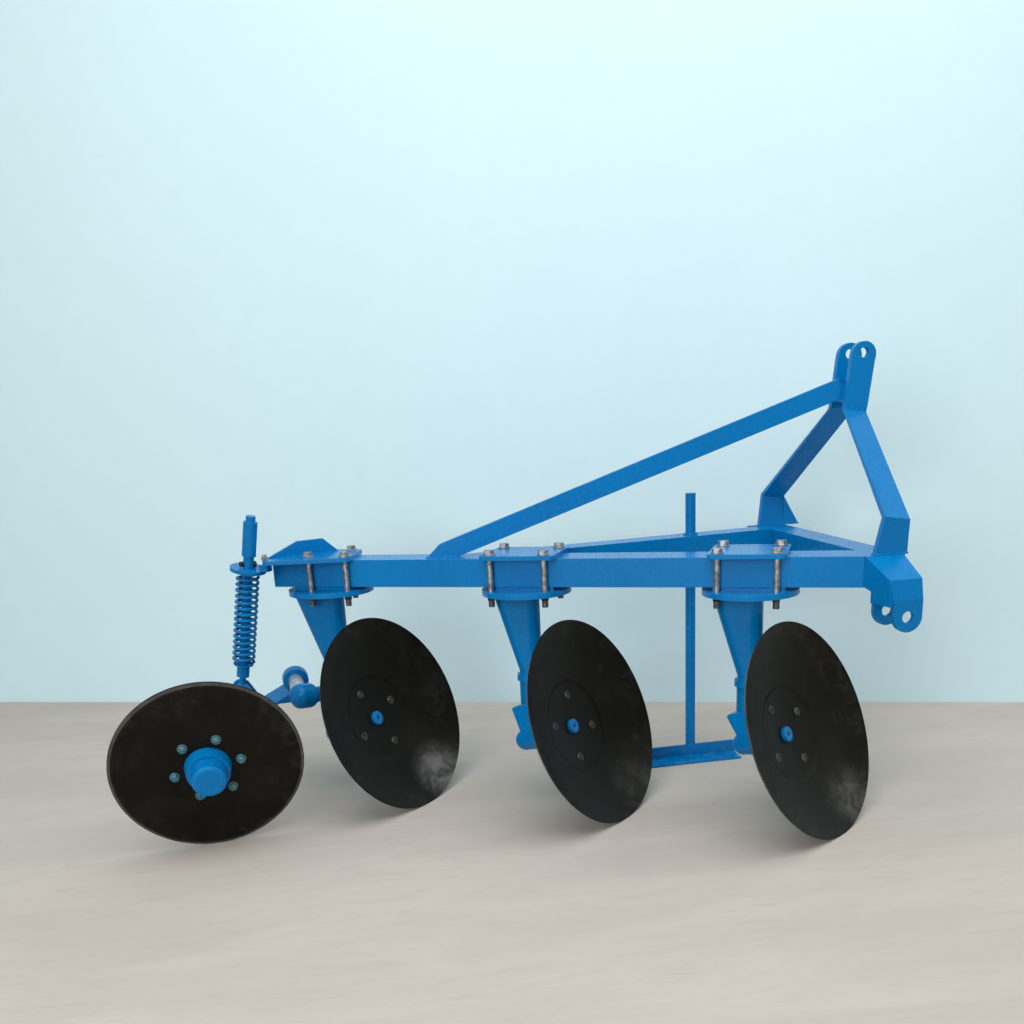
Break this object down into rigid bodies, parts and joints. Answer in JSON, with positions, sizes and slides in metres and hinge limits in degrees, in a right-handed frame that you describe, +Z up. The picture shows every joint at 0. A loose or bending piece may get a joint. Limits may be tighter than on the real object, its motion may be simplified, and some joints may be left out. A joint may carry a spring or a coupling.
{
  "type": "three-disc mounted plough",
  "caption": "Tractor-mounted disc plough: diagonal beam with tilted discs on clamped standards, three-point hitch, sprung furrow wheel and parking stand.",
  "frame": {"origin": "on the ground, under the centre of the whole machine", "axes": "+X forward in the direction of travel, +Y to the left, +Z up"},
  "size_m": [2.053, 1.0444, 1.189],
  "materials": {
    "blue_paint": "gloss bright blue paint",
    "disc_steel": "near-black satin heat-treated steel",
    "zinc_steel": "zinc-plated steel"
  },
  "bodies": {
    "frame": {"main_beam": "blue_paint", "beam_end_cap": "blue_paint", "front_crossbar": "blue_paint", "rear_brace": "blue_paint", "right_hitch_bracket": "blue_paint", "left_hitch_bracket": "blue_paint", "mast_right_leg": "blue_paint", "mast_left_leg": "blue_paint", "mast_spacer": "blue_paint", "mast_brace": "blue_paint", "stand_sleeve": "blue_paint", "front_clamp_plate": "blue_paint", "front_clamp_bolts": "zinc_steel", "front_standard_flange": "blue_paint", "front_standard_column": "blue_paint", "front_bearing_housing": "blue_paint", "middle_clamp_plate": "blue_paint", "middle_clamp_bolts": "zinc_steel", "middle_standard_flange": "blue_paint", "middle_standard_column": "blue_paint", "middle_bearing_housing": "blue_paint", "rear_clamp_bolts": "zinc_steel", "rear_standard_flange": "blue_paint", "rear_standard_column": "blue_paint", "rear_bearing_housing": "blue_paint", "tail_bracket": "blue_paint", "seat_bolt": "zinc_steel", "pivot_link": "blue_paint", "pivot_pin": "zinc_steel", "trailing_arm": "blue_paint", "strut_rod": "blue_paint", "strut_sleeve": "blue_paint", "strut_seat": "blue_paint", "strut_spring": "blue_paint", "wheel_axle": "blue_paint"},
    "front_disc_set": {"front_disc": "disc_steel", "front_disc_hub": "blue_paint"},
    "middle_disc_set": {"middle_disc": "disc_steel", "middle_disc_hub": "blue_paint"},
    "rear_disc_set": {"rear_disc": "disc_steel", "rear_disc_hub": "blue_paint"},
    "furrow_wheel_set": {"furrow_wheel": "disc_steel", "wheel_hub": "blue_paint"},
    "parking_stand": {"stand_rod": "blue_paint", "stand_foot": "blue_paint"}
  },
  "joints": [
    {"name": "front_disc_spin", "type": "hinge", "parent": "frame", "child": "front_disc_set", "pos_m": [0.73143, -0.33274, 0.26175], "axis": [0.5781, -0.7346, 0.3551], "continuous": true},
    {"name": "middle_disc_spin", "type": "hinge", "parent": "frame", "child": "middle_disc_set", "pos_m": [0.23591, -0.07151, 0.26175], "axis": [0.6713, -0.6506, 0.3551], "continuous": true},
    {"name": "rear_disc_spin", "type": "hinge", "parent": "frame", "child": "rear_disc_set", "pos_m": [-0.27949, 0.20022, 0.26175], "axis": [0.6947, -0.6255, 0.3551], "continuous": true},
    {"name": "furrow_wheel_spin", "type": "hinge", "parent": "frame", "child": "furrow_wheel_set", "pos_m": [-0.78213, -0.05196, 0.23654], "axis": [0.0976, -0.9605, -0.2605], "continuous": true},
    {"name": "parking_stand_slide", "type": "slide", "parent": "frame", "child": "parking_stand", "axis": [0, 0, 1], "range_m": [0, 0.3]}
  ]
}
